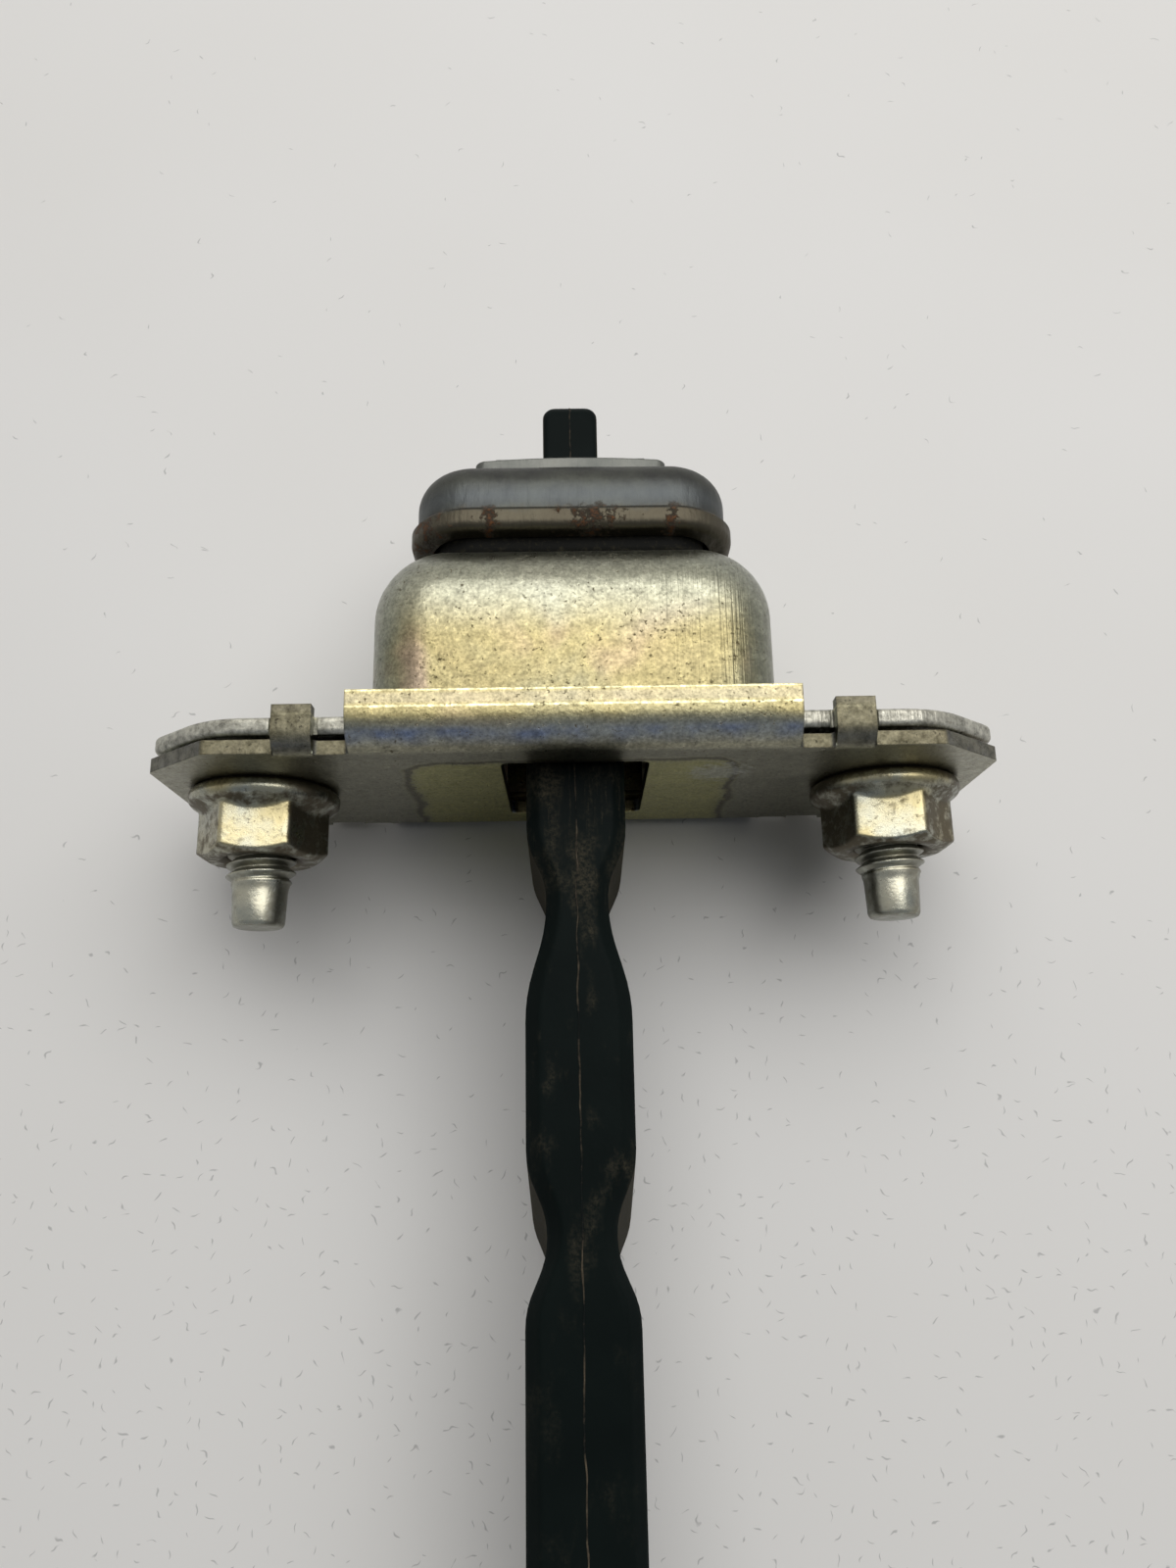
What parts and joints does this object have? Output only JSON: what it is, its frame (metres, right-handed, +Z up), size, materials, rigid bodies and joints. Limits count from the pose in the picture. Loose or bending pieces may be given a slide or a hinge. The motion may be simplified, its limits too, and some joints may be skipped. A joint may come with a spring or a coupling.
{
  "type": "vehicle door check",
  "caption": "Vehicle door check: a detent arm slides through a sprung steel case with studs and nuts, ends in a buffered stop and pivots on a pillar bracket.",
  "frame": {"origin": "centre of the arm's slot, on the front plate's face that is clamped to the door", "axes": "+X from stud to stud, +Y into the case towards the stop, -Y along the arm towards the pillar, +Z up"},
  "size_m": [0.0712, 0.1683, 0.0292],
  "materials": {
    "chromate_steel": "satin",
    "bright_zinc": "satin",
    "grey_steel": "matt",
    "black_plastic": "matt",
    "natural_plastic": "satin",
    "black_rubber": "matt"
  },
  "bodies": {
    "case": {"front_plate": "chromate_steel", "case_shell": "chromate_steel", "stud_left": "bright_zinc", "stud_right": "bright_zinc", "nut_left": "bright_zinc", "nut_right": "bright_zinc", "rubber_spring_left": "black_rubber", "rubber_spring_right": "black_rubber"},
    "arm": {"arm_core": "grey_steel", "arm_sleeve": "black_plastic", "stop_cushion": "black_rubber", "stop_cup": "grey_steel", "stop_retainer": "grey_steel", "stop_pin": "grey_steel", "pivot_bush_left": "natural_plastic", "pivot_bush_right": "natural_plastic"},
    "shoe_left": {"shoe_left": "natural_plastic", "shoe_backplate_left": "grey_steel"},
    "shoe_right": {"shoe_right": "natural_plastic", "shoe_backplate_right": "grey_steel"},
    "bracket": {"pillar_bracket": "chromate_steel", "pivot_rivet": "bright_zinc"}
  },
  "joints": [
    {"name": "arm_slide", "type": "slide", "parent": "case", "child": "arm", "axis": [0, 1, 0], "range_m": [0, 0.078]},
    {"name": "bracket_pivot", "type": "hinge", "parent": "arm", "child": "bracket", "pos_m": [0, -0.105, 0], "axis": [1, 0, 0], "range_deg": [-110, 10]},
    {"name": "shoe_left_press", "type": "slide", "parent": "case", "child": "shoe_left", "axis": [1, 0, 0], "range_m": [0, 0.0019], "stiffness_N_per_m": 2000, "springref_m": 0.0019, "deforming": ["rubber_spring_left"]},
    {"name": "shoe_right_press", "type": "slide", "parent": "case", "child": "shoe_right", "axis": [-1, 0, 0], "range_m": [0, 0.0019], "stiffness_N_per_m": 2000, "springref_m": 0.0019, "deforming": ["rubber_spring_right"]}
  ]
}
